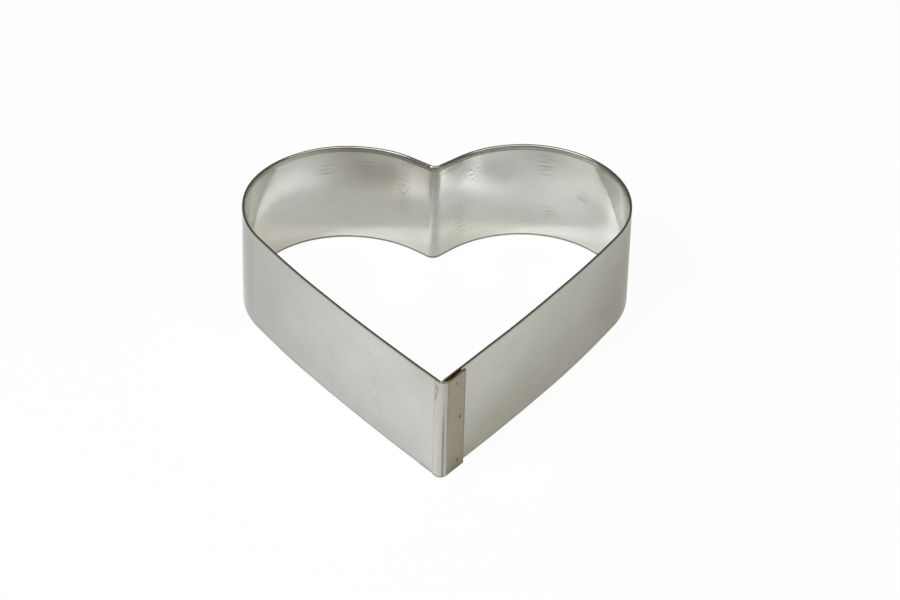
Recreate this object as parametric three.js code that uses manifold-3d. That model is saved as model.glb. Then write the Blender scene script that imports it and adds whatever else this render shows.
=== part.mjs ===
// A heart-shaped cake ring: one strip of stainless sheet that stands on edge, bent into a heart.
// The strip starts as a tab outside the right wall, wraps round the tip, runs up the left side,
// over both lobes and down the right side, and ends square inside the tip bend. Three spot welds
// bridge the gap between the tab and the right wall.
// Millimetres, +Z up, +Y from the tip to the cleft. The origin is the middle of the base.

import * as THREE from 'three';
import { mergeVertices } from 'three/addons/utils/BufferGeometryUtils.js';
import Module from 'manifold-3d';

const wasm = await Module();
wasm.setup();

// Strip
const RING_HEIGHT = 40;
const SHEET = 1;
const EDGE_BREAK = 0.15;

// Heart outline, measured on the outer face, angles in degrees
const LOBE_RADIUS = 37.5;
const LOBE_SPACING = 63.2;
const SIDE_RADIUS = 740;
const TIP_ANGLE = 81;
const TIP_FLAT = 16;
const CLEFT_ANGLE = 104;

// Inside radii of the two sharp bends
const TIP_BEND_RADIUS = 1.5;
const CLEFT_BEND_RADIUS = 2.2;

// Lap joint at the tip
const TAB_LENGTH = 8.3;
const LAP_GAP = 0.4;
const END_CLEARANCE = 0.1;

// Spot welds, each placed from the tab's end and by its height on the strip
const UPPER_WELD_INSET = 4.7;
const UPPER_WELD_BELOW_TOP = 3.2;
const MIDDLE_WELD_INSET = 2.4;
const MIDDLE_WELD_ABOVE_MIDDLE = 1.7;
const LOWER_WELD_INSET = 3.4;
const LOWER_WELD_ABOVE_BASE = 3.8;
const WELD_DIAMETER = 3;
const WELD_CLEARANCE = 0.02;
const DIMPLE_DIAMETER = 2.6;
const DIMPLE_DEPTH = 0.15;

// Fineness of the curves: the most that a facet turns and the longest that it is
const FACET_ANGLE = 5;
const FACET_LENGTH = 12;
const WELD_SIDES = 24;
const DIMPLE_RINGS = 3;

const stainless = new THREE.MeshStandardMaterial({ color: 0xc4c5bf, roughness: 0.22, metalness: 1 });
const weldMetal = new THREE.MeshStandardMaterial({ color: 0x8a8174, roughness: 0.5, metalness: 1 });

const WELDS = [
  { name: 'spot_weld_upper', inset: UPPER_WELD_INSET, height: RING_HEIGHT - UPPER_WELD_BELOW_TOP },
  { name: 'spot_weld_middle', inset: MIDDLE_WELD_INSET, height: RING_HEIGHT / 2 + MIDDLE_WELD_ABOVE_MIDDLE },
  { name: 'spot_weld_lower', inset: LOWER_WELD_INSET, height: LOWER_WELD_ABOVE_BASE },
];

const { degToRad, radToDeg } = THREE.MathUtils;

// Outline

// The side's bow starts at the end of its flat and touches the inside of its lobe's circle. How far
// the bow and the lobe each turn follows from where they touch.
function sideAndLobe() {
  const half = degToRad(TIP_ANGLE / 2);
  const bowX = TIP_FLAT * Math.sin(half) - SIDE_RADIUS * Math.cos(half);
  const across = LOBE_SPACING / 2 - bowX;
  const touch = radToDeg(Math.acos(across / (SIDE_RADIUS - LOBE_RADIUS)));
  return {
    sideTurn: TIP_ANGLE / 2 - touch,
    lobeTurn: touch + 180 - CLEFT_ANGLE / 2,
  };
}

// A fillet of the given radius starts this far from the sharp corner of the two flats it joins
function tangentLength(radius, cornerAngle) {
  return radius / Math.tan(degToRad(cornerAngle / 2));
}

// From the end of a lobe to the start of the cleft's bend
function cleftFlat() {
  const half = degToRad(CLEFT_ANGLE / 2);
  const lobeEnd = LOBE_SPACING / 2 - LOBE_RADIUS * Math.cos(half);
  return lobeEnd / Math.sin(half) - tangentLength(CLEFT_BEND_RADIUS, CLEFT_ANGLE);
}

// The tab lies outside the right wall, so the left flat runs on past the sharp tip. The right flat
// stops where its outer corner still clears the inside of the tip bend.
function tipFlats() {
  const tip = degToRad(TIP_ANGLE);
  const standOff = LAP_GAP + SHEET;
  const bendStart = tangentLength(TIP_BEND_RADIUS + SHEET, TIP_ANGLE);
  const reach = Math.sqrt((TIP_BEND_RADIUS - END_CLEARANCE) ** 2 - (TIP_BEND_RADIUS - LAP_GAP) ** 2);
  return {
    left: TIP_FLAT + standOff / Math.sin(tip) - bendStart,
    right: TIP_FLAT + standOff / Math.tan(tip) - bendStart + reach,
  };
}

function direction(heading) {
  return new THREE.Vector2(Math.cos(heading), Math.sin(heading));
}

// Walks along the strip's outer face and marks stations. A positive bend turns right, towards the
// inside of the ring.
class StripWalk {
  constructor(heading) {
    this.at = new THREE.Vector2();
    this.heading = heading;
    this.stations = [];
    this.mark();
  }

  mark() {
    this.stations.push({ outer: this.at.clone(), heading: this.heading });
  }

  straight(length) {
    this.at.addScaledVector(direction(this.heading), length);
    this.mark();
    return this;
  }

  bend(radius, degrees) {
    const angle = Math.abs(degrees);
    const facets = Math.ceil(Math.max(angle / FACET_ANGLE, radius * degToRad(angle) / FACET_LENGTH));
    const turn = -degToRad(degrees) / facets;
    const chord = 2 * radius * Math.sin(Math.abs(turn) / 2);
    for (let facet = 0; facet < facets; facet += 1) {
      this.at.addScaledVector(direction(this.heading + turn / 2), chord);
      this.heading += turn;
      this.mark();
    }
    return this;
  }
}

// From the tab's end round the heart to the tucked end, moved so that the origin is in the middle
function stripStations() {
  const { sideTurn, lobeTurn } = sideAndLobe();
  const flats = tipFlats();
  const towardsTip = -degToRad(90 + TIP_ANGLE / 2);
  const walk = new StripWalk(towardsTip)
    .straight(TAB_LENGTH)
    .bend(TIP_BEND_RADIUS + SHEET, 180 - TIP_ANGLE)
    .straight(flats.left)
    .bend(SIDE_RADIUS, sideTurn)
    .bend(LOBE_RADIUS, lobeTurn)
    .straight(cleftFlat())
    .bend(CLEFT_BEND_RADIUS, CLEFT_ANGLE - 180)
    .straight(cleftFlat())
    .bend(LOBE_RADIUS, lobeTurn)
    .bend(SIDE_RADIUS, sideTurn)
    .straight(flats.right);
  const outerPoints = walk.stations.map((station) => station.outer);
  const middle = new THREE.Box2().setFromPoints(outerPoints).getCenter(new THREE.Vector2());
  outerPoints.forEach((point) => point.sub(middle));
  return walk.stations;
}

// The sheet's inner face is straight across from each outer station
function innerPoint(station) {
  return station.outer.clone().addScaledVector(direction(station.heading - Math.PI / 2), SHEET);
}

// Solids

function toSolid(geometry) {
  geometry.deleteAttribute('normal');
  geometry.deleteAttribute('uv');
  const merged = mergeVertices(geometry);
  return new wasm.Manifold(new wasm.Mesh({
    numProp: 3,
    vertProperties: new Float32Array(merged.attributes.position.array),
    triVerts: new Uint32Array(merged.index.array),
  }));
}

function toGeometry(solid) {
  const mesh = solid.getMesh();
  const geometry = new THREE.BufferGeometry();
  geometry.setAttribute('position', new THREE.BufferAttribute(mesh.vertProperties, 3));
  geometry.setIndex(new THREE.BufferAttribute(mesh.triVerts, 1));
  geometry.computeVertexNormals();
  return geometry;
}

// The plan of the sheet, raised to the ring's height, with its long edges broken
function stripGeometry(stations) {
  const outerFace = stations.map((station) => station.outer);
  const innerFace = stations.map(innerPoint).reverse();
  const plan = new THREE.Shape([...outerFace, ...innerFace]);
  const geometry = new THREE.ExtrudeGeometry(plan, {
    depth: RING_HEIGHT - 2 * EDGE_BREAK,
    bevelThickness: EDGE_BREAK,
    bevelSize: EDGE_BREAK,
    bevelOffset: -EDGE_BREAK,
    bevelSegments: 1,
  });
  return geometry.translate(0, 0, EDGE_BREAK);
}

// The shallow dish that a welding electrode presses into a face: a cap that sinks into y below 0,
// closed a little above the face
function dimpleGeometry() {
  const rim = DIMPLE_DIAMETER / 2;
  const profile = [];
  for (let ring = 0; ring <= DIMPLE_RINGS; ring += 1) {
    const share = ring / DIMPLE_RINGS;
    profile.push(new THREE.Vector2(rim * share, DIMPLE_DEPTH * (share ** 2 - 1)));
  }
  profile.push(new THREE.Vector2(rim, DIMPLE_DEPTH), new THREE.Vector2(0, DIMPLE_DEPTH));
  return new THREE.LatheGeometry(profile, WELD_SIDES);
}

// A group at the foot of the tab's end: x runs along the tab towards the tip, y points out of the ring
function lapGroup(tabEnd) {
  const lap = new THREE.Group();
  lap.position.set(tabEnd.outer.x, tabEnd.outer.y, 0);
  lap.rotation.z = tabEnd.heading;
  lap.updateMatrix();
  return lap;
}

// Electrode marks at one weld: on the tab's outer face and on the right wall's inner face
function electrodeMarks(weld, lap) {
  const onTab = dimpleGeometry().translate(weld.inset, 0, weld.height);
  const wallInside = -(2 * SHEET + LAP_GAP);
  const onWall = dimpleGeometry().rotateX(Math.PI).translate(weld.inset, wallInside, weld.height);
  return [onTab, onWall].map((geometry) => toSolid(geometry.applyMatrix4(lap.matrix)));
}

function heartBand(stations, lap) {
  const marks = WELDS.flatMap((weld) => electrodeMarks(weld, lap));
  const solid = marks.reduce((band, mark) => band.subtract(mark), toSolid(stripGeometry(stations)));
  const band = new THREE.Mesh(toGeometry(solid), stainless);
  band.name = 'heart_band';
  return band;
}

// A weld nugget fills the gap between the two layers of the lap
function spotWeld(weld) {
  const radius = WELD_DIAMETER / 2;
  const thickness = LAP_GAP - 2 * WELD_CLEARANCE;
  const nugget = new THREE.Mesh(new THREE.CylinderGeometry(radius, radius, thickness, WELD_SIDES), weldMetal);
  nugget.name = weld.name;
  nugget.position.set(weld.inset, -(SHEET + LAP_GAP / 2), weld.height);
  return nugget;
}

const stations = stripStations();
const lap = lapGroup(stations[0]);
lap.add(...WELDS.map(spotWeld));

const ring = new THREE.Group();
ring.add(heartBand(stations, lap), lap);

export default ring;
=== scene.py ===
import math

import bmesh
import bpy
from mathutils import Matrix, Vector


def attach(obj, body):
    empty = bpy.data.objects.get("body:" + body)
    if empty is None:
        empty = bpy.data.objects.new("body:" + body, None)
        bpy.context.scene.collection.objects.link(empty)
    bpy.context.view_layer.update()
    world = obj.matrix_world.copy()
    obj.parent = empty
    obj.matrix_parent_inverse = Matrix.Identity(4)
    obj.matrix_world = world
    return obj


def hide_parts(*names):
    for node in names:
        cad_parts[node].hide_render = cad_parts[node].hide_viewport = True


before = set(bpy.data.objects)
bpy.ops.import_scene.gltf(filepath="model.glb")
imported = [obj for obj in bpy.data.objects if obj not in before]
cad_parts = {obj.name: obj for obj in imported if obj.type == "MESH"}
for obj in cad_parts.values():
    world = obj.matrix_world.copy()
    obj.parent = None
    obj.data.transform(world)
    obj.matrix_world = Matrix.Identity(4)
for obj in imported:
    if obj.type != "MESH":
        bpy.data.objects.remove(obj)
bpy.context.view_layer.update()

# A heart-shaped cake ring: one strip of stainless sheet on edge, bent into a heart and spot-welded
# where a tab laps over the right wall at the tip. The sizes repeat the CAD model's, in millimetres.
# Along: distance on the strip's outer face from the tab's end. Depth: from the outer face inwards.
# A pair called a rise or a fade says where a smooth change starts and where it ends.

MM = 0.001

# Strip and outline, as in the CAD model
RING_HEIGHT = 40
SHEET = 1
LOBE_RADIUS = 37.5
LOBE_SPACING = 63.2
SIDE_RADIUS = 740
TIP_ANGLE = 81
TIP_FLAT = 16
CLEFT_ANGLE = 104
TIP_BEND_RADIUS = 1.5
CLEFT_BEND_RADIUS = 2.2

# Lap joint at the tip, as in the CAD model
TAB_LENGTH = 8.3
LAP_GAP = 0.4
END_CLEARANCE = 0.1
WELD_DIAMETER = 3
WELD_CLEARANCE = 0.02
DIMPLE_DIAMETER = 2.6

# Spot welds: distance from the tab's end and height
WELDS = {
    "spot_weld_upper": (4.7, 36.8),
    "spot_weld_middle": (2.4, 21.7),
    "spot_weld_lower": (3.4, 3.8),
}

# Rounded edges, and the band below the inner top edge that is ground back
EDGE_ROUND = 0.1
INNER_TOP_ROUND = 0.32
FOOT_ROUND = 0.45
END_ROUND = 0.1
GROUND_HEIGHT = 2.0
GROUND_DEPTH = 0.14

# Electrode marks: a shallow dish, and in its middle a pit whose floor is a share of its radius
DISH_DEPTH = 0.06
PIT_DIAMETER = 0.8
PIT_DEPTH = 0.3
PIT_FLOOR = 0.35

# Waviness of the sheet: a slow ripple that drifts with height, and a quicker, weaker one
WAVE_HEIGHT = 0.03
SLOW_RIPPLE = 7.1
SLOW_START = 0.6
SLOW_RISE = 11.0
SLOW_DRIFT = 53.0
QUICK_RIPPLE = 3.3
QUICK_SLANT = 17.0
QUICK_START = 1.9
QUICK_SHARE = 0.35

# Tip bend: it stands proud, most at its foot, between a fold line and a clamp line
BEND_SWELL = 0.4
SWELL_AT_TOP = 0.1
SWELL_RISE = 3
SWELL_FALL = 0.4
CLAMP_LINE_FROM_BEND = 1.4
CLAMP_GROOVE_DEPTH = 0.05
CLAMP_GROOVE_WIDTH = 0.3
FOLD_LINE_FROM_TAB = 2.0
FOLD_GROOVE_DEPTH = 0.08
FOLD_GROOVE_WIDTH = 0.6

# Leans of the wall's top and foot; the foot's fades out at a share of the ring's half width
TOP_LEAN = 0.7
FOOT_LEAN = 0.75
FOOT_LEAN_END = 0.65

# Where the wall's top and foot stand in from the true outline: middle along, reach and how far
TOP_BOWS = (
    (44, 25, 0.13), (88, 30, -0.2), (155, 28, -0.5), (202, 24, 0.5), (358, 50, -0.4), (425, 22, 0.15),
)
FOOT_BOWS = (
    (17, 9, -0.3), (68, 48, 0.3), (115, 24, 0.55), (203, 34, 0.7), (231, 10, 0.5), (370, 30, -0.27),
)

# Places of wear and dirt on the two faces, and of painted shade and painted light: along, height, half
# length, half height and strength
SCRATCHES = (
    (187, 31, 5, 4, 1), (202, 33, 4, 2.5, 1), (276, 32, 5, 6, 1), (277, 11, 4, 2.5, 1),
    (167, 24, 3, 4, 0.8), (290, 22, 5, 3, 1), (222, 8, 12, 4, 0.6), (240, 8, 12, 4, 0.6),
    (236, 36.8, 7, 1.8, 1),
)
INNER_RUBS = ((217.5, 27, 3.2, 14, 1), (247, 31, 4.5, 7, 0.9), (241.5, 11, 3, 9, 1))
OUTER_RUBS = ((12.6, 24, 1.1, 22, 0.4), (349, 24, 4, 6, 0.35))
STREAKS = ((13.0, 36.4, 0.7, 3.2, 0.95), (13.4, 33.3, 0.5, 3.0, 0.9))
# Painted shade: patches where the steel is coloured darker to stand for darker reflections, and made a
# little rougher
INNER_DULL_AND_PAINTED_SHADE = (
    (128, 22, 16, 26, 0.22), (160, 35, 26, 13, 0.52), (180, 35, 14, 8, 0.4), (196, 26, 13, 6, 0.25),
    (212, 4, 22, 8, 0.26), (224, 3, 10, 9, 0.42), (236, 4, 9, 9, 0.34), (238, 17, 10, 6, 0.35),
    (240, 34.5, 11, 10, 1), (253, 28, 14, 8, 0.6), (276, 36, 10, 5, 0.37), (300, 5, 14, 8, 0.3),
)
OUTER_DULL_AND_PAINTED_SHADE = (
    (60, 0, 60, 12, 0.15), (112, 8, 48, 36, 0.33), (123, 20, 8, 60, 0.8), (350, 26, 22, 40, 0.32),
    (372, 22, 45, 45, 0.24),
)
# Painted light: patches where the steel is coloured brighter to stand for brighter reflections
INNER_PAINTED_SHEEN = (
    (170, 8, 24, 10, 0.4), (172, 21, 14, 6, 0.2), (208, 38, 16, 6, 0.7), (222, 29, 11, 12, 1),
    (252, 23, 12, 4, 0.25), (284, 18, 16, 12, 0.7),
)
OUTER_PAINTED_SHEEN = ((45, 37, 25, 8, 0.25), (375, 6, 22, 10, 0.3))
BLOTS = ((0, 33.6, 0.6, 0.7, 1),)
# Painted shade: dark patches just below the inner top edge
INNER_RIM_PAINTED_SHADE = (
    (148, 39.4, 24, 0.45, 1), (222, 39.4, 10, 0.45, 0.5), (240, 39.4, 12, 0.45, 0.8),
    (314, 39.4, 22, 0.45, 1),
)
PATCH_FADE = (0.2, 1.2)

# Painted shade: dark lines at the foot and along the top edge, whose inner one is thin on the lobes
FOOT_LINE = 0.85
OUTER_FOOT_SHARE = 0.35
# Painted shade: the dark line starts this far below the inner rounding on both faces, and runs this far
# onto the top edge
EDGE_LINE = 0.17
EDGE_LINE_REACH = 0.08
# Height of the painted shade just below the inner top edge
PAINTED_RIM_SHADE_HEIGHT = 0.45
LOBES_RISE = (105, 130)
LOBES_FADE = (335, 360)

# Painted highlight on the inner top edge, brightest at these places: middle along, reach and share
PAINTED_HIGHLIGHTS = ((186, 20, 0.75), (204, 20, 0.75), (262, 20, 0.7), (282, 20, 0.75))

# Left of the cleft, where the ground band hardly shows
UNGROUND = 0.9
UNGROUND_BEFORE_CLEFT = 14
UNGROUND_REACH = 22

# Dirt in the clamp line and along the rim of the tint, and dark lines in the fold groove, darker towards
# the foot, and at the tab's end
CLAMP_DIRT = 0.9
FOLD_DARK_LINE = 0.8
FOLD_DARK_LINE_REACH = 0.45
FOLD_DARK_LINE_FADE = (18, 34)
TINT_RIM_DIRT = 0.55
TINT_RIM_REACH = 0.35
TINT_RIM_RISE = (4, 26)
TAB_END_DARK_LINE = 0.8
TAB_END_DARK_LINE_FADE = (0.1, 0.6)

# Heat tint, soot and burns at the lap
LAP_MARGIN = 4
TINT_PAST_TAB = 0.65
TINT_FADE = 0.25
WALL_TINT = 0.8
WALL_TINT_FADE = (1, 6)
SOOT_FULL_BELOW_TOP = 0.9
SOOT_GONE_BELOW_TOP = 0.4
RIM_SOOT = 0.8
RIM_SOOT_MIDDLE = 0.75
TAB_END_SOOT_FADE = (0.6, 2)
TAB_SCORCH = 0.85
TAB_SCORCH_FADE = 2
WALL_SCORCH_FADE = (6, 11)
# Painted reflection: a bright strip this wide on the right wall's outer face, just past the tab's end
PAINTED_REFLECTION_WIDTH = 1.2
WELD_BURN = {"spot_weld_upper": 0.3, "spot_weld_middle": 1.0, "spot_weld_lower": 0.65}
BURN_HALF_LENGTH = 0.8
BURN_HALF_HEIGHT = 1.1
BURN_CORE = 0.2

# Steel dulled by stretching at the two sharp bends
CLEFT_STRETCH_SHIFT = 0.45
CLEFT_STRETCH_REACH = 2.2
CLEFT_STRETCH_AT_FOOT = 0.65
CLEFT_STRETCH_RISE = (6, 26)
TIP_STRETCH = 0.8
TIP_STRETCH_FROM_TAB = 1.2
TIP_STRETCH_REACH = 2.0

# Fineness of the mesh
FLAT_STEP = 1.5
LAP_STEP = 0.25
FINE_PAST_TIP_BEND = 2.4
FINE_BEFORE_END = 11
BEND_STEP = 1.0
SHARP_BEND_STEP = 0.2
ROW_STEP = 2.0
WELD_ROW_STEP = 0.2
WELD_ROW_REACH = 1.6
ROW_CLEARANCE = 0.1
CREASE_WIDTH = 0.12
TOP_CREASE = 0.1
ROUND_STEPS = 5
MERGE_DISTANCE = 0.001

# Weld nuggets: shares of the radius, and an uneven rim with some lumps
NUGGET_SIDES = 32
NUGGET_FACE = 0.6
NUGGET_WAIST = 0.93
NUGGET_UNEVEN = 0.04
NUGGET_LUMPS = 3

# Camera, at the photograph's viewing angle
CAMERA_ELEVATION = 36.713
CAMERA_AZIMUTH = -1.368
CAMERA_ROLL = 0.347
CAMERA_DISTANCE = 917.19
CAMERA_TARGET = (4.985, 28.33, 0)
CAMERA_LENS = 101.5
CAMERA_SENSOR = 36

# Lamps: name, place in metres, size, power and colour
LAMPS = (
    ("key_lamp", (-0.521, -0.325, 0.658), 0.4, 5.25, (0.915, 0.965, 1.0)),
    ("fill_lamp", (0.465, -0.364, 0.679), 0.4, 1.96, (1.0, 0.955, 0.83)),
    ("top_lamp", (0.003, -0.063, 0.898), 0.45, 1.92, (1.0, 0.945, 0.79)),
)
WORLD_COLOUR = (1, 1, 1, 1)
WORLD_LEVEL = 0.08
GLOSSY_BOUNCES = 12
MAX_BOUNCES = 24

# Floor, in metres
FLOOR_RADIUS = 2.4
SWEEP_RADIUS = 1.0
SWEEP_STEPS = 8
FLOOR_SIDES = 96
FLOOR_DROP = 0.00005
FLOOR_COLOUR = (0.9, 0.9, 0.9, 1)
FLOOR_GLOW_SEEN = 0.95
FLOOR_GLOW_MIRRORED = 0.1


# Outline

def direction(heading):
    return Vector((math.cos(heading), math.sin(heading)))


class StripPath:
    """The strip's outer face in plan: flats and bends walked one after another from the tab's end.
    A positive bend turns right, towards the inside of the ring."""

    def __init__(self, heading):
        self.pieces = []
        self.length = 0
        self.end = Vector((0, 0))
        self.heading = heading
        self.shift = Vector((0, 0))
        self.tip_bend = None
        self.cleft_bend = None

    def flat(self, length, step):
        return self._add(length, 0, step)

    def bend(self, radius, degrees, step):
        turn = -math.radians(degrees)
        return self._add(radius * abs(turn), turn, step)

    def _add(self, length, turn, step):
        piece = {"start": self.length, "length": length, "turn": turn, "step": step,
                 "place": self.end.copy(), "heading": self.heading}
        self.pieces.append(piece)
        self.length += length
        self.end, self.heading = self._walk(piece, length)
        return piece

    @staticmethod
    def _walk(piece, distance):
        turned = piece["turn"] * distance / piece["length"]
        chord = distance
        if turned:
            chord = distance * math.sin(turned / 2) / (turned / 2)
        place = piece["place"] + chord * direction(piece["heading"] + turned / 2)
        return place, piece["heading"] + turned

    def at(self, along):
        """The outer face's place and heading that far along."""
        piece = self.pieces[0]
        for candidate in self.pieces:
            if candidate["start"] <= along:
                piece = candidate
        place, heading = self._walk(piece, along - piece["start"])
        return place + self.shift, heading

    def stations(self):
        """Distances along the strip, close enough together for each flat and bend."""
        marks = [0]
        for piece in self.pieces:
            count = math.ceil(piece["length"] / piece["step"])
            marks += [piece["start"] + piece["length"] * (i + 1) / count for i in range(count)]
        return marks


def tangent_length(radius, corner_angle):
    return radius / math.tan(math.radians(corner_angle / 2))


def heart_path():
    """The same walk as the CAD model's, with the outline's middle moved to the origin."""
    tip_half = math.radians(TIP_ANGLE / 2)
    bow_x = TIP_FLAT * math.sin(tip_half) - SIDE_RADIUS * math.cos(tip_half)
    touch = math.degrees(math.acos((LOBE_SPACING / 2 - bow_x) / (SIDE_RADIUS - LOBE_RADIUS)))
    side_turn = TIP_ANGLE / 2 - touch
    lobe_turn = touch + 180 - CLEFT_ANGLE / 2

    cleft_half = math.radians(CLEFT_ANGLE / 2)
    lobe_end = LOBE_SPACING / 2 - LOBE_RADIUS * math.cos(cleft_half)
    cleft_flat = lobe_end / math.sin(cleft_half) - tangent_length(CLEFT_BEND_RADIUS, CLEFT_ANGLE)

    tip = math.radians(TIP_ANGLE)
    stand_off = LAP_GAP + SHEET
    bend_start = tangent_length(TIP_BEND_RADIUS + SHEET, TIP_ANGLE)
    reach = math.sqrt((TIP_BEND_RADIUS - END_CLEARANCE) ** 2 - (TIP_BEND_RADIUS - LAP_GAP) ** 2)
    left_flat = TIP_FLAT + stand_off / math.sin(tip) - bend_start
    right_flat = TIP_FLAT + stand_off / math.tan(tip) - bend_start + reach

    path = StripPath(-math.radians(90 + TIP_ANGLE / 2))
    path.flat(TAB_LENGTH, LAP_STEP)
    path.tip_bend = path.bend(TIP_BEND_RADIUS + SHEET, 180 - TIP_ANGLE, SHARP_BEND_STEP)
    path.flat(FINE_PAST_TIP_BEND, LAP_STEP)
    path.flat(left_flat - FINE_PAST_TIP_BEND, FLAT_STEP)
    path.bend(SIDE_RADIUS, side_turn, FLAT_STEP)
    path.bend(LOBE_RADIUS, lobe_turn, BEND_STEP)
    path.flat(cleft_flat, FLAT_STEP)
    path.cleft_bend = path.bend(CLEFT_BEND_RADIUS, CLEFT_ANGLE - 180, SHARP_BEND_STEP)
    path.flat(cleft_flat, FLAT_STEP)
    path.bend(LOBE_RADIUS, lobe_turn, BEND_STEP)
    path.bend(SIDE_RADIUS, side_turn, FLAT_STEP)
    path.flat(right_flat - FINE_BEFORE_END, FLAT_STEP)
    path.flat(FINE_BEFORE_END, LAP_STEP)

    outline = [path.at(along)[0] for along in path.stations()]
    low = Vector((min(p.x for p in outline), min(p.y for p in outline)))
    high = Vector((max(p.x for p in outline), max(p.y for p in outline)))
    path.shift = -(low + high) / 2
    return path


# Fine shape

def smooth(low, high, value):
    """0 up to low, 1 from high, and a smooth rise between."""
    share = min(max((value - low) / (high - low), 0), 1)
    return share * share * (3 - 2 * share)


def bump_shape(centre, reach, value):
    """1 at the centre, falling smoothly to 0 at that reach on both sides."""
    return 1 - smooth(0, reach, abs(value - centre))


def wave(along, height):
    """The sheet's slight unevenness after bending."""
    slow = math.sin(along / SLOW_RIPPLE + SLOW_START) * math.sin(height / SLOW_RISE + along / SLOW_DRIFT)
    quick = math.sin(along / QUICK_RIPPLE + height / QUICK_SLANT + QUICK_START) * QUICK_SHARE
    return WAVE_HEIGHT * (slow + quick)


def weld_mark(distance):
    """How deep an electrode's shallow dish and the small pit in its middle are at that distance."""
    dish = DISH_DEPTH * max(0, 1 - (2 * distance / DIMPLE_DIAMETER) ** 2)
    pit = PIT_DEPTH * (1 - smooth(PIT_FLOOR, 1, 2 * distance / PIT_DIAMETER))
    return dish + pit


def bowed(bows, along):
    """How far the wall stands in from the true outline there."""
    return sum(inwards * bump_shape(middle, reach, along) for middle, reach, inwards in bows)


class BandShape:
    """Places any point of the sheet, given along, depth and height, with its small unevenness."""

    def __init__(self, path):
        self.path = path
        self.bend_end = TAB_LENGTH + path.tip_bend["length"]
        self.clamp_line = self.bend_end + CLAMP_LINE_FROM_BEND
        self.fold_line = TAB_LENGTH + FOLD_LINE_FROM_TAB
        self.cleft_middle = path.cleft_bend["start"] + path.cleft_bend["length"] / 2
        self.lap_origin, heading = path.at(0)
        self.lap_axis = direction(heading)
        self.half_width = max(path.at(along)[0].x for along in path.stations())

    def along_lap(self, place):
        """Distance from the tab's end towards the tip, for a place anywhere in the lap."""
        return (place - self.lap_origin).dot(self.lap_axis)

    def mark_depth(self, along, depth, height, place):
        """Electrode marks on the tab's outer face and on the right wall's inner face."""
        on_tab = along < TAB_LENGTH and depth < EDGE_ROUND
        on_wall = along > self.path.length - TIP_FLAT and SHEET - EDGE_ROUND < depth <= SHEET
        if not on_tab and not on_wall:
            return 0
        inset = self.along_lap(place)
        depths = [weld_mark(math.hypot(inset - w, height - h)) for w, h in WELDS.values()]
        return max(depths) if on_tab else -max(depths)

    def swell(self, along, height):
        """How far the bend stands proud of the left wall, most at its foot, between a fold line and a
        clamp line that are slight grooves."""
        lower = SWELL_AT_TOP + (1 - SWELL_AT_TOP) * (1 - height / RING_HEIGHT)
        share = smooth(TAB_LENGTH, TAB_LENGTH + SWELL_RISE, along)
        share *= 1 - smooth(self.clamp_line - SWELL_FALL, self.clamp_line + SWELL_FALL, along)
        clamp = CLAMP_GROOVE_DEPTH * bump_shape(self.clamp_line, CLAMP_GROOVE_WIDTH, along)
        fold = FOLD_GROOVE_DEPTH * bump_shape(self.fold_line, FOLD_GROOVE_WIDTH, along)
        return BEND_SWELL * lower * share - clamp - fold

    def lean(self, across, height):
        """How far the wall leans to the right: the left side's top leans in, and the foot of all but
        the right side leans to the left."""
        share = across / self.half_width
        top = TOP_LEAN * (1 - smooth(-1, 0, share))
        foot = -FOOT_LEAN * (1 - smooth(0, FOOT_LEAN_END, share))
        return foot + (top - foot) * height / RING_HEIGHT

    def point(self, along, depth, height):
        place, heading = self.path.at(along)
        inwards = direction(heading - math.pi / 2)
        place = place + depth * inwards
        push = self.mark_depth(along, depth, height, place)
        push -= self.swell(along, height)
        ends = min(along, self.path.length - along)
        push += wave(along, height) * smooth(TIP_FLAT, 2 * TIP_FLAT, ends)
        foot = bowed(FOOT_BOWS, along)
        push += foot + (bowed(TOP_BOWS, along) - foot) * height / RING_HEIGHT
        place = place + push * inwards
        place.x += self.lean(place.x, height)
        return Vector((place.x, place.y, height)) * MM


def rows():
    """Heights on a face, between the rounded edges: even rows, closer ones at the small marks, and
    pairs that keep the ground band, the dark lines and the rounded edges crisp."""
    low = FOOT_ROUND + CREASE_WIDTH
    ground = RING_HEIGHT - GROUND_HEIGHT
    count = math.ceil((ground - low) / ROW_STEP)
    heights = {low + (ground - low) * i / count for i in range(count)}
    steps = round(WELD_ROW_REACH / WELD_ROW_STEP)
    middles = [h for _, h in WELDS.values()] + [place[1] for place in BLOTS]
    for middle in middles:
        near = [middle + WELD_ROW_STEP * i for i in range(-steps, steps + 1)]
        near = [h for h in near if low < h < ground - WELD_ROW_STEP]
        lowest = near[0] - ROW_CLEARANCE
        highest = near[-1] + ROW_CLEARANCE
        heights = {h for h in heights if not lowest < h < highest} | set(near)
    line = RING_HEIGHT - INNER_TOP_ROUND - EDGE_LINE
    heights |= {FOOT_LINE, FOOT_LINE + CREASE_WIDTH}
    heights |= {ground - CREASE_WIDTH, ground, ground + CREASE_WIDTH}
    heights |= {line - PAINTED_RIM_SHADE_HEIGHT, line - CREASE_WIDTH, line}
    heights |= {RING_HEIGHT - INNER_TOP_ROUND - CREASE_WIDTH}
    return sorted(heights)


def ground_depth(height):
    """How far the inner face has been ground back at that height, in a band below the top edge."""
    return GROUND_DEPTH * max(0, height - RING_HEIGHT + GROUND_HEIGHT) / GROUND_HEIGHT


def inner_top():
    """Depth at which the ground inner face meets its rounded top edge."""
    return SHEET - ground_depth(RING_HEIGHT - INNER_TOP_ROUND)


def rounded(radius):
    """Steps of a rounded edge, from a face to the end of the sheet, as depth and height used up."""
    turns = [math.pi / 2 * i / ROUND_STEPS for i in range(ROUND_STEPS + 1)]
    return [(radius * (1 - math.cos(t)), radius * (1 - math.sin(t))) for t in turns]


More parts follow.
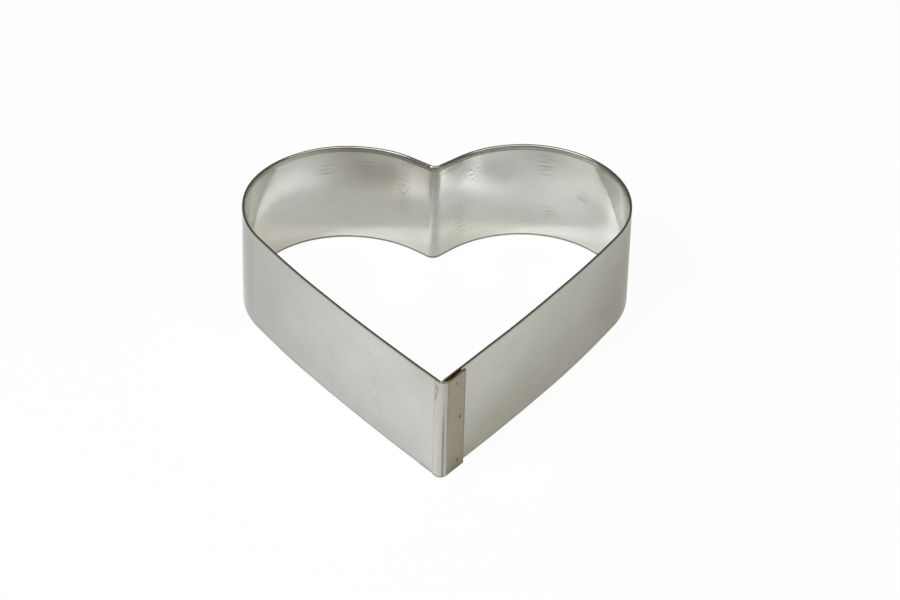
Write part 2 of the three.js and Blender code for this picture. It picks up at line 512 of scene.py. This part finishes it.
def section():
    """The strip's section as a closed loop of depth, height and kind of surface: up the outer face,
    over the top edge, down the inner face and under. Each half mirrors the other, so that the ends
    of the strip close with quads."""
    outer = [(d, h, "foot") for d, h in reversed(rounded(FOOT_ROUND))]
    outer += [(0, h, "face") for h in rows()]
    outer += [(d, RING_HEIGHT - h, "top") for d, h in rounded(EDGE_ROUND)]
    inner = [(SHEET - d, h, "foot") for d, h in reversed(rounded(FOOT_ROUND))]
    inner += [(SHEET - ground_depth(h), h, "face") for h in rows()]
    inner += [(inner_top() - d, RING_HEIGHT - h, "top") for d, h in rounded(INNER_TOP_ROUND)]
    start = Vector(outer[-1][:2])
    run = Vector(inner[-1][:2]) - start
    outer.append((*(start + run * TOP_CREASE), "top"))
    inner.append((*(start + run * (1 - TOP_CREASE)), "top"))
    return outer + inner[::-1]


# Marks, as shares that the steel's material reads

def patches(places, along, height):
    """How much of the strongest of some oval patches covers a point."""
    shares = [0]
    for middle, level, half_length, half_height, strength in places:
        reach = math.hypot((along - middle) / half_length, (height - level) / half_height)
        shares.append(strength * (1 - smooth(*PATCH_FADE, reach)))
    return max(shares)


def weld_burn(inset, height):
    """How far a weld has blackened the sheet there."""
    shares = []
    for name, (across, middle) in WELDS.items():
        reach = math.hypot((inset - across) / BURN_HALF_LENGTH, (height - middle) / BURN_HALF_HEIGHT)
        shares.append(WELD_BURN[name] * (1 - smooth(BURN_CORE, 1, reach)))
    return max(shares)


def dirt_and_dark_lines(shape, along, height):
    """Dirt in the clamp line and along the rim of the tint, and dark lines in the fold line and at the
    tab's end.
    """
    clamp = CLAMP_DIRT * bump_shape(shape.clamp_line, CLAMP_GROOVE_WIDTH, along)
    fold = FOLD_DARK_LINE * bump_shape(shape.fold_line, FOLD_DARK_LINE_REACH, along)
    fold *= 1 - smooth(*FOLD_DARK_LINE_FADE, height)
    rim = TINT_RIM_DIRT * bump_shape(TAB_LENGTH + TINT_PAST_TAB, TINT_RIM_REACH, along)
    rim *= smooth(*TINT_RIM_RISE, height)
    edge = TAB_END_DARK_LINE * (1 - smooth(*TAB_END_DARK_LINE_FADE, along))
    return max(clamp, fold, rim, edge, patches(BLOTS, along, height))


def edge_line_reach(along, inside):
    """How far the painted dark line on the top edge runs in from the outer or the inner face."""
    if not inside:
        return EDGE_LINE_REACH
    on_lobes = smooth(*LOBES_RISE, along) * (1 - smooth(*LOBES_FADE, along))
    return INNER_TOP_ROUND + (EDGE_LINE_REACH - INNER_TOP_ROUND) * on_lobes


def edge_marks(shape, along, depth, height, kind):
    """Shares of the top edge, the foot and the ground band, with painted shade at the foot and along the
    top edge, and a painted highlight on the inner top edge.
    """
    inside = depth > SHEET / 2
    on_foot = 1 - smooth(FOOT_LINE, FOOT_LINE + CREASE_WIDTH, height)
    line = RING_HEIGHT - INNER_TOP_ROUND - EDGE_LINE
    # Painted shade on the faces just below the top edge
    edge_line = smooth(line - CREASE_WIDTH, line, height)
    ground = 0.0
    painted_highlight = 0.0
    if inside and kind == "face":
        band = RING_HEIGHT - GROUND_HEIGHT
        faint = bump_shape(shape.cleft_middle - UNGROUND_BEFORE_CLEFT, UNGROUND_REACH, along)
        ground = smooth(band - CREASE_WIDTH, band, height) * (1 - UNGROUND * faint)
    if kind == "top":
        from_face = inner_top() - depth if inside else depth
        edge_line = 1 - smooth(0, edge_line_reach(along, inside), from_face)
        # A painted highlight on the inner top edge's rounding
        if inside and from_face < INNER_TOP_ROUND:
            painted_highlight = max(share * bump_shape(middle, reach, along) for middle, reach, share in PAINTED_HIGHLIGHTS)
    return {
        "top_edge": 1.0 if kind == "top" else 0.0,
        "edge_line": edge_line,
        "painted_highlight": painted_highlight,
        "ground": ground,
        # Painted shade at the foot, weaker outside
        "foot_edge": on_foot if inside else OUTER_FOOT_SHARE * on_foot,
    }


def lap_marks(shape, along, height, inside, on_top):
    """Shares of the heat tint, soot and burns at the lap, and of a painted reflection beside the tab's
    end.
    """
    place, _ = shape.path.at(along)
    inset = shape.along_lap(place)
    from_end = shape.path.length - along
    at_tip = along < shape.bend_end or from_end < TAB_LENGTH + LAP_MARGIN
    in_gap = (along < shape.bend_end and inside) or (from_end < TAB_LENGTH and not inside)
    gap_soot = 0.0
    if in_gap:
        gap_soot = 1 - smooth(RING_HEIGHT - SOOT_FULL_BELOW_TOP, RING_HEIGHT - SOOT_GONE_BELOW_TOP, height)
    rim_soot = max(bump_shape(TAB_LENGTH * RIM_SOOT_MIDDLE, TAB_LENGTH / 2, along),
                   1 - smooth(*TAB_END_SOOT_FADE, along))
    tint_end = TAB_LENGTH + TINT_PAST_TAB
    tint = smooth(0, END_ROUND, along) * (1 - smooth(tint_end - TINT_FADE, tint_end + TINT_FADE, along))
    # A painted reflection of the tab's end on the right wall
    painted_reflection = 0.0
    if at_tip and not inside and along > TAB_LENGTH:
        painted_reflection = bump_shape(-PAINTED_REFLECTION_WIDTH / 2, PAINTED_REFLECTION_WIDTH / 2, inset)
    scorched = max(TAB_SCORCH * (1 - smooth(TAB_LENGTH, TAB_LENGTH + TAB_SCORCH_FADE, along)),
                   1 - smooth(*WALL_SCORCH_FADE, from_end))
    return {
        "heat_tint": max(tint, WALL_TINT * (1 - smooth(*WALL_TINT_FADE, from_end))),
        "gap_soot": max(gap_soot, RIM_SOOT * rim_soot * on_top),
        "weld_burn": weld_burn(inset, height) if at_tip and not in_gap else 0.0,
        "painted_reflection": painted_reflection,
        "scorched": scorched * on_top,
    }


def wear_marks(shape, along, height, inside):
    """Shares of wear and dirt on the two faces, of painted shade and painted light on them, and of
    stretched steel at the bends.
    """
    cleft = bump_shape(shape.cleft_middle + CLEFT_STRETCH_SHIFT, CLEFT_STRETCH_REACH, along)
    higher = smooth(*CLEFT_STRETCH_RISE, height)
    cleft *= CLEFT_STRETCH_AT_FOOT + (1 - CLEFT_STRETCH_AT_FOOT) * higher
    tip = TIP_STRETCH * bump_shape(TAB_LENGTH + TIP_STRETCH_FROM_TAB, TIP_STRETCH_REACH, along)
    return {
        # Painted light: the whole inner face is coloured lighter
        "inner_painted_light": 1.0 if inside else 0.0,
        # Inside, painted shade below the top edge; outside, dirt and dark lines
        "dirt_and_painted_shade": patches(INNER_RIM_PAINTED_SHADE, along, height) if inside else dirt_and_dark_lines(shape, along, height),
        "scratched": patches(SCRATCHES, along, height) if inside else 0.0,
        "rubbed": patches(INNER_RUBS if inside else OUTER_RUBS, along, height),
        "streaked": 0.0 if inside else patches(STREAKS, along, height),
        # Painted shade: darker patches, a little rougher too
        "dull_and_painted_shade": patches(INNER_DULL_AND_PAINTED_SHADE if inside else OUTER_DULL_AND_PAINTED_SHADE, along, height),
        # Painted light: brighter patches
        "painted_sheen": patches(INNER_PAINTED_SHEEN if inside else OUTER_PAINTED_SHEEN, along, height),
        "stretched": max(cleft, tip),
    }


def surface_marks(shape, along, depth, height, kind):
    """All shares at a point of the strip, which is on a face, the top edge or the foot."""
    inside = depth > SHEET / 2
    marks = edge_marks(shape, along, depth, height, kind)
    marks.update(lap_marks(shape, along, height, inside, marks["top_edge"]))
    marks.update(wear_marks(shape, along, height, inside))
    return marks


# Meshes

def join_loops(work, loops):
    """Faces between each closed loop of points and the next."""
    for here, there in zip(loops, loops[1:]):
        for i in range(len(here)):
            j = (i + 1) % len(here)
            work.faces.new((here[i], here[j], there[j], there[i]))


def finished_mesh(work, name):
    """The work as a new mesh with smooth shading."""
    for face in work.faces:
        face.smooth = True
    mesh = bpy.data.meshes.new(name)
    work.to_mesh(mesh)
    work.free()
    return mesh


def band_mesh(shape):
    """The strip: its section placed at every station, joined, and closed at both ends."""
    path = shape.path
    loop = section()
    size = len(loop)
    stations = [(0, END_ROUND), (END_ROUND, 0)]
    stations += [(a, 0) for a in path.stations() if END_ROUND < a < path.length - END_ROUND]
    stations += [(path.length - END_ROUND, 0), (path.length, END_ROUND)]

    work = bmesh.new()
    place_layer = work.verts.layers.float_vector.new("strip_place")
    mark_names = surface_marks(shape, 0, 0, 0, "face")
    mark_layers = {name: work.verts.layers.float.new(name) for name in mark_names}
    rings = []
    for along, inset in stations:
        ring = []
        for depth, height, kind in loop:
            depth = min(max(depth, inset), SHEET - inset)
            height = min(max(height, inset), RING_HEIGHT - inset)
            vert = work.verts.new(shape.point(along, depth, height))
            vert[place_layer] = (along, height, depth)
            for name, share in surface_marks(shape, along, depth, height, kind).items():
                vert[mark_layers[name]] = share
            ring.append(vert)
        rings.append(ring)
    join_loops(work, rings)
    for ring in (rings[0], rings[-1]):
        for i in range(size // 2 - 1):
            work.faces.new((ring[i], ring[i + 1], ring[size - 2 - i], ring[size - 1 - i]))
    bmesh.ops.remove_doubles(work, verts=work.verts, dist=MERGE_DISTANCE * MM)
    bmesh.ops.recalc_face_normals(work, faces=work.faces)
    return finished_mesh(work, "heart_band_dressed")


def nugget_mesh(shape, name):
    """A weld nugget squeezed between the tab and the wall: a thin disc with a hollow, uneven rim."""
    inset, height = WELDS[name]
    outer = SHEET + WELD_CLEARANCE
    inner = SHEET + LAP_GAP - WELD_CLEARANCE
    profile = ((NUGGET_FACE, outer), (1, outer), (NUGGET_WAIST, (outer + inner) / 2), (1, inner),
               (NUGGET_FACE, inner))
    work = bmesh.new()
    place_layer = work.verts.layers.float_vector.new("strip_place")

    def vertex(reach, turn, depth):
        uneven = 1 - NUGGET_UNEVEN * (1 + math.sin(NUGGET_LUMPS * turn + inset)) * reach
        radius = WELD_DIAMETER / 2 * reach * uneven
        along = inset + radius * math.cos(turn)
        level = height + radius * math.sin(turn)
        vert = work.verts.new(shape.point(along, depth, level))
        vert[place_layer] = (along, level, depth)
        return vert

    turns = [2 * math.pi * i / NUGGET_SIDES for i in range(NUGGET_SIDES)]
    loops = [[vertex(reach, turn, depth) for turn in turns] for reach, depth in profile]
    join_loops(work, loops)
    for loop, depth in ((loops[0], outer), (loops[-1], inner)):
        middle = vertex(0, 0, depth)
        for i in range(NUGGET_SIDES):
            work.faces.new((loop[i], loop[(i + 1) % NUGGET_SIDES], middle))
    bmesh.ops.recalc_face_normals(work, faces=work.faces)
    return finished_mesh(work, name + "_dressed")


def floor_mesh():
    """A round floor whose rim sweeps up, so that a low view shows no horizon."""
    work = bmesh.new()
    loops = []
    for step in range(SWEEP_STEPS + 1):
        sweep = math.pi / 2 * step / SWEEP_STEPS
        radius = FLOOR_RADIUS + SWEEP_RADIUS * math.sin(sweep)
        height = SWEEP_RADIUS * (1 - math.cos(sweep))
        corners = [radius * direction(2 * math.pi * i / FLOOR_SIDES) for i in range(FLOOR_SIDES)]
        loops.append([work.verts.new((corner.x, corner.y, height)) for corner in corners])
    work.faces.new(loops[0])
    # From the rim inwards, so that the faces look up
    join_loops(work, loops[::-1])
    return finished_mesh(work, "floor")


# Materials

STEEL = (0.57, 0.573, 0.545, 1)
STEEL_DIM = (0.50, 0.50, 0.47, 1)
STEEL_BRIGHT = (0.72, 0.715, 0.69, 1)
STEEL_PAINTED_SHEEN = (0.70, 0.715, 0.73, 1)
STEEL_PAINTED_SHADE = (0.36, 0.355, 0.33, 1)
TINTED_STEEL = (0.34, 0.314, 0.26, 1)
TINT_DARK = (0.25, 0.225, 0.175, 1)
SCORCHED = (0.26, 0.155, 0.035, 1)
GAP_BROWN = (0.12, 0.055, 0.01, 1)
SOOT = (0.10, 0.07, 0.04, 1)
BURN = (0.05, 0.035, 0.02, 1)
EDGE_DARK = (0.145, 0.105, 0.027, 1)
FOOT_DARK = (0.12, 0.104, 0.075, 1)
SHEARED_STEEL = (0.38, 0.37, 0.32, 1)
EDGE_STEEL = (0.66, 0.66, 0.61, 1)
STEEL_PAINTED_HIGHLIGHT = (0.85, 0.85, 0.81, 1)

# Coats of colour below and above the heat tint, in order: the share, its strength and its colour
WORN_COATS = (
    # Painted light: the inner face is coloured lighter all over; the next two coats are painted brighter
    # and painted darker reflections
    ("inner_painted_light", 0.3, STEEL_BRIGHT),
    ("painted_sheen", 1, STEEL_PAINTED_SHEEN),
    ("dull_and_painted_shade", 0.8, STEEL_PAINTED_SHADE),
    ("worn", 0.7, TINT_DARK),
)
# Painted light and shade among these coats: a bright strip beside the tab's end, dark patches below the
# inner top edge, a bright line on the inner top edge, and dark lines along the top edge and at the foot
EDGE_COATS = (
    ("stretched", 0.52, TINTED_STEEL),
    ("painted_reflection", 0.65, STEEL_BRIGHT),
    ("ground", 0.8, SHEARED_STEEL),
    ("dirt_and_painted_shade", 0.8, SOOT),
    ("streaks", 1, SOOT),
    ("top_edge", 1, EDGE_STEEL),
    ("painted_highlight", 1, STEEL_PAINTED_HIGHLIGHT),
    ("edge_line", 0.66, EDGE_DARK),
    ("scorched", 0.85, SCORCHED),
    ("foot_edge", 0.85, FOOT_DARK),
    ("gap_soot", 0.8, GAP_BROWN),
    ("weld_burn", 0.9, BURN),
)

# Roughness of the plain steel, from its lowest to its highest, and what each share adds
STEEL_ROUGHNESS = (0.08, 0.14)
ROUGHER = (
    ("worn", 0.15), ("heat_tint", 0.18), ("stretched", 0.2), ("ground", 0.12), ("top_edge", 0.1),
    ("scorched", 0.15), ("painted_highlight", 0.4), ("dull_and_painted_shade", 0.04),
)

# Noise on the strip: scale along it, scale over its height, and detail
ROLLED = (0.03, 0.9, 4)
CLOUDY = (0.05, 0.07, 2)
MOTTLED = (0.8, 0.35, 4)
GRAIN = (1.1, 1.4, 2)
DRYING = (0.08, 0.1, 3)
SCRATCH_LINES = (0.09, 1.6, 1)
RUB_LINES = (2.2, 0.9, 3)
STREAK_LINES = (3.0, 0.4, 2)
WELD_GRAIN = (3, 3, 4)
DEPTH_SCALE = 7
NOISE_ROUGHNESS = 0.6

# Spans of the noise that are used, and the shares that they become
NOISE_SPAN = (0.3, 0.7)
CLOUDINESS = 0.5
GRAININESS = 0.2
ROLLING = 0.2
DRYING_LINE = 0.57
STAIN_RIM_WIDTH = 0.025
STAIN_RIM = 0.4
SCRATCH_SPAN = (0.52, 0.62)
SCRATCH_STRENGTH = 0.75
RUB_SPAN = (0.48, 0.62)
STREAK_SPAN = (0.42, 0.56)
MOTTLED_SPAN = (0.35, 0.75)
MOTTLING = 0.6
WELD_SPAN = (0.35, 0.65)
WELD_ROUGHNESS = (0.35, 0.6)

# Relief: what worn lines add to it, and each metal's strength and height in metres
WORN_RELIEF = 0.8
STEEL_RELIEF = (0.5, 0.000005)
WELD_RELIEF = (0.6, 0.00002)

# Sockets of a Mix node that mixes colours
MIX_SHARE = 0
MIX_FIRST = 6
MIX_SECOND = 7
MIX_RESULT = 2


class Graph:
    """A new material's nodes, made and linked in one call each."""

    def __init__(self, name):
        self.material = bpy.data.materials.new(name)
        self.material.use_nodes = True
        self.tree = self.material.node_tree
        self.tree.nodes.clear()
        self.shares = {}

    def add(self, kind, inputs, **settings):
        made = self.tree.nodes.new("ShaderNode" + kind)
        for name, value in settings.items():
            setattr(made, name, value)
        for socket, value in inputs.items():
            if isinstance(value, bpy.types.NodeSocket):
                self.tree.links.new(value, made.inputs[socket])
            else:
                made.inputs[socket].default_value = value
        return made

    def attribute(self, name):
        return self.add("Attribute", {}, attribute_name=name)

    def share(self, name):
        """A share that the mesh holds, or one that the material has already made from it."""
        if name not in self.shares:
            self.shares[name] = self.attribute(name).outputs["Fac"]
        return self.shares[name]

    def math(self, operation, first, second):
        return self.add("Math", {0: first, 1: second}, operation=operation).outputs["Value"]

    def plus(self, first, second):
        return self.math("ADD", first, second)

    def times(self, first, second):
        return self.math("MULTIPLY", first, second)

    def ranged(self, value, low, high, to_low, to_high):
        sockets = {"Value": value, "From Min": low, "From Max": high, "To Min": to_low, "To Max": to_high}
        return self.add("MapRange", sockets).outputs["Result"]

    def mixed(self, share, first, second):
        sockets = {MIX_SHARE: share, MIX_FIRST: first, MIX_SECOND: second}
        return self.add("Mix", sockets, data_type="RGBA").outputs[MIX_RESULT]

    def coated(self, colour, coats):
        for name, strength, coat in coats:
            colour = self.mixed(self.times(self.share(name), strength), colour, coat)
        return colour

    def noise(self, place, along_scale, height_scale, detail):
        scale = (along_scale, height_scale, DEPTH_SCALE)
        stretched = self.add("Mapping", {"Vector": place, "Scale": scale}).outputs["Vector"]
        sockets = {"Vector": stretched, "Scale": 1, "Detail": detail, "Roughness": NOISE_ROUGHNESS}
        return self.add("TexNoise", sockets).outputs["Fac"]

    def metal(self, colour, rough, relief, strength, distance):
        bump = self.add("Bump", {"Height": relief, "Strength": strength, "Distance": distance})
        shader = self.add("BsdfPrincipled", {
            "Base Color": colour, "Metallic": 1, "Roughness": rough, "Normal": bump.outputs["Normal"]})
        return self.surface(shader.outputs["BSDF"])

    def surface(self, shader):
        self.add("OutputMaterial", {"Surface": shader})
        return self.material


def steel_material():
    """Satin stainless: faint rolling lines and cloudiness, scratches and rubbed places, brown heat tint
    on the lap, dark pits at the welds, and coarser sheared edges. Its colour also holds painted light and
    shade: patches of brighter and darker reflection, a lighter inner face, dark lines at the foot and
    along the top edge, dark patches below the inner top edge, a bright line on it, and a bright strip
    beside the tab's end."""
    graph = Graph("satin_stainless")
    place = graph.attribute("strip_place").outputs["Vector"]
    rolled = graph.noise(place, *ROLLED)
    cloudy = graph.noise(place, *CLOUDY)
    mottled = graph.noise(place, *MOTTLED)
    grain = graph.noise(place, *GRAIN)
    drying = graph.math("SUBTRACT", graph.noise(place, *DRYING), DRYING_LINE)
    stain_rims = graph.ranged(graph.math("ABSOLUTE", drying, 0), 0, STAIN_RIM_WIDTH, STAIN_RIM, 0)

    scratch_lines = graph.ranged(graph.noise(place, *SCRATCH_LINES), *SCRATCH_SPAN, 0, SCRATCH_STRENGTH)
    rub_lines = graph.ranged(graph.noise(place, *RUB_LINES), *RUB_SPAN, 0, 1)
    streak_lines = graph.ranged(graph.noise(place, *STREAK_LINES), *STREAK_SPAN, 0, 1)
    scratches = graph.times(graph.share("scratched"), scratch_lines)
    rubs = graph.times(graph.share("rubbed"), rub_lines)
    graph.shares["worn"] = graph.math("MAXIMUM", scratches, rubs)
    graph.shares["streaks"] = graph.times(graph.share("streaked"), streak_lines)

    uneven = graph.plus(graph.ranged(cloudy, *NOISE_SPAN, 0, CLOUDINESS), stain_rims)
    uneven = graph.plus(uneven, graph.ranged(grain, *NOISE_SPAN, 0, GRAININESS))
    uneven = graph.plus(uneven, graph.ranged(rolled, *NOISE_SPAN, -ROLLING, ROLLING))
    colour = graph.coated(graph.mixed(uneven, STEEL, STEEL_DIM), WORN_COATS)
    lap = graph.mixed(graph.ranged(mottled, *MOTTLED_SPAN, 0, MOTTLING), TINTED_STEEL, TINT_DARK)
    colour = graph.coated(graph.mixed(graph.share("heat_tint"), colour, lap), EDGE_COATS)

    rough = graph.ranged(rolled, *NOISE_SPAN, *STEEL_ROUGHNESS)
    for name, extra in ROUGHER:
        rough = graph.plus(rough, graph.times(graph.share(name), extra))

    relief = graph.plus(rolled, graph.times(graph.share("worn"), WORN_RELIEF))
    relief = graph.plus(relief, graph.times(graph.share("heat_tint"), mottled))
    return graph.metal(colour, rough, relief, *STEEL_RELIEF)


def weld_material():
    """Weld metal: dark, rough and unevenly heat tinted."""
    graph = Graph("weld_metal")
    grain = graph.noise(graph.attribute("strip_place").outputs["Vector"], *WELD_GRAIN)
    colour = graph.mixed(graph.ranged(grain, *WELD_SPAN, 0, 1), TINT_DARK, SOOT)
    rough = graph.ranged(grain, *NOISE_SPAN, *WELD_ROUGHNESS)
    return graph.metal(colour, rough, grain, *WELD_RELIEF)


def floor_material():
    """Pale floor that keeps the ring's shadow: nearly white to the camera, a little lit in the metal."""
    graph = Graph("pale_floor")
    matt = graph.add("BsdfDiffuse", {"Color": FLOOR_COLOUR}).outputs["BSDF"]
    glow = graph.add("Emission", {"Strength": 1}).outputs["Emission"]
    path = graph.add("LightPath", {})
    mirrored = graph.math("MAXIMUM", path.outputs["Is Glossy Ray"], path.outputs["Is Transmission Ray"])
    mirrored = graph.times(mirrored, FLOOR_GLOW_MIRRORED)
    seen = graph.times(path.outputs["Is Camera Ray"], FLOOR_GLOW_SEEN)
    share = graph.math("MAXIMUM", seen, mirrored)
    return graph.surface(graph.add("MixShader", {"Fac": share, 1: matt, 2: glow}).outputs["Shader"])


# Stage

def add_object(name, data):
    made = bpy.data.objects.new(name, data)
    bpy.context.scene.collection.objects.link(made)
    return made


def add_floor():
    mesh = floor_mesh()
    mesh.materials.append(floor_material())
    floor = add_object("floor", mesh)
    floor.location.z = -FLOOR_DROP


def add_lamp(name, place, size, power, colour):
    """A square lamp that faces the origin."""
    lamp = bpy.data.lights.new(name, "AREA")
    lamp.size = size
    lamp.energy = power
    lamp.color = colour
    holder = add_object(name, lamp)
    holder.location = place
    holder.rotation_euler = (-Vector(place)).to_track_quat("-Z", "Y").to_euler()


def add_world():
    world = bpy.data.worlds.new("studio")
    bpy.context.scene.world = world
    world.use_nodes = True
    background = world.node_tree.nodes["Background"]
    background.inputs["Color"].default_value = WORLD_COLOUR
    background.inputs["Strength"].default_value = WORLD_LEVEL


def add_camera():
    elevation = math.radians(CAMERA_ELEVATION)
    azimuth = math.radians(CAMERA_AZIMUTH)
    level = math.cos(elevation)
    back = Vector((math.sin(azimuth) * level, -math.cos(azimuth) * level, math.sin(elevation)))
    right = (-back).cross(Vector((0, 0, 1))).normalized()
    up = back.cross(right)
    turn = Matrix.Rotation(math.radians(CAMERA_ROLL), 3, back)
    right = turn @ right
    up = turn @ up
    camera = bpy.data.cameras.new("camera")
    camera.sensor_width = CAMERA_SENSOR
    camera.lens = CAMERA_LENS
    holder = add_object("camera", camera)
    axes = Matrix((right, up, back)).transposed()
    place = Vector(CAMERA_TARGET) + back * CAMERA_DISTANCE
    holder.matrix_world = Matrix.Translation(place * MM) @ axes.to_4x4()
    bpy.context.scene.camera = holder


# Scene

def dress(name, mesh, material, node):
    """Adds a piece that is shown in place of one of the CAD model's nodes."""
    mesh.materials.append(material)
    piece = add_object(name, mesh)
    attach(piece, "root")
    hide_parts(node)


add_camera()
add_world()
add_floor()
for lamp in LAMPS:
    add_lamp(*lamp)
bpy.context.scene.view_settings.view_transform = "Standard"
# Light that the shiny walls throw on the floor and on each other stays sharp, and may run along
# the inside of a lobe in many small bounces
bpy.context.scene.cycles.blur_glossy = 0
bpy.context.scene.cycles.glossy_bounces = GLOSSY_BOUNCES
bpy.context.scene.cycles.max_bounces = MAX_BOUNCES

shape = BandShape(heart_path())
dress("band", band_mesh(shape), steel_material(), "heart_band")
weld_metal = weld_material()
for weld in WELDS:
    dress(weld + "_nugget", nugget_mesh(shape, weld), weld_metal, weld)
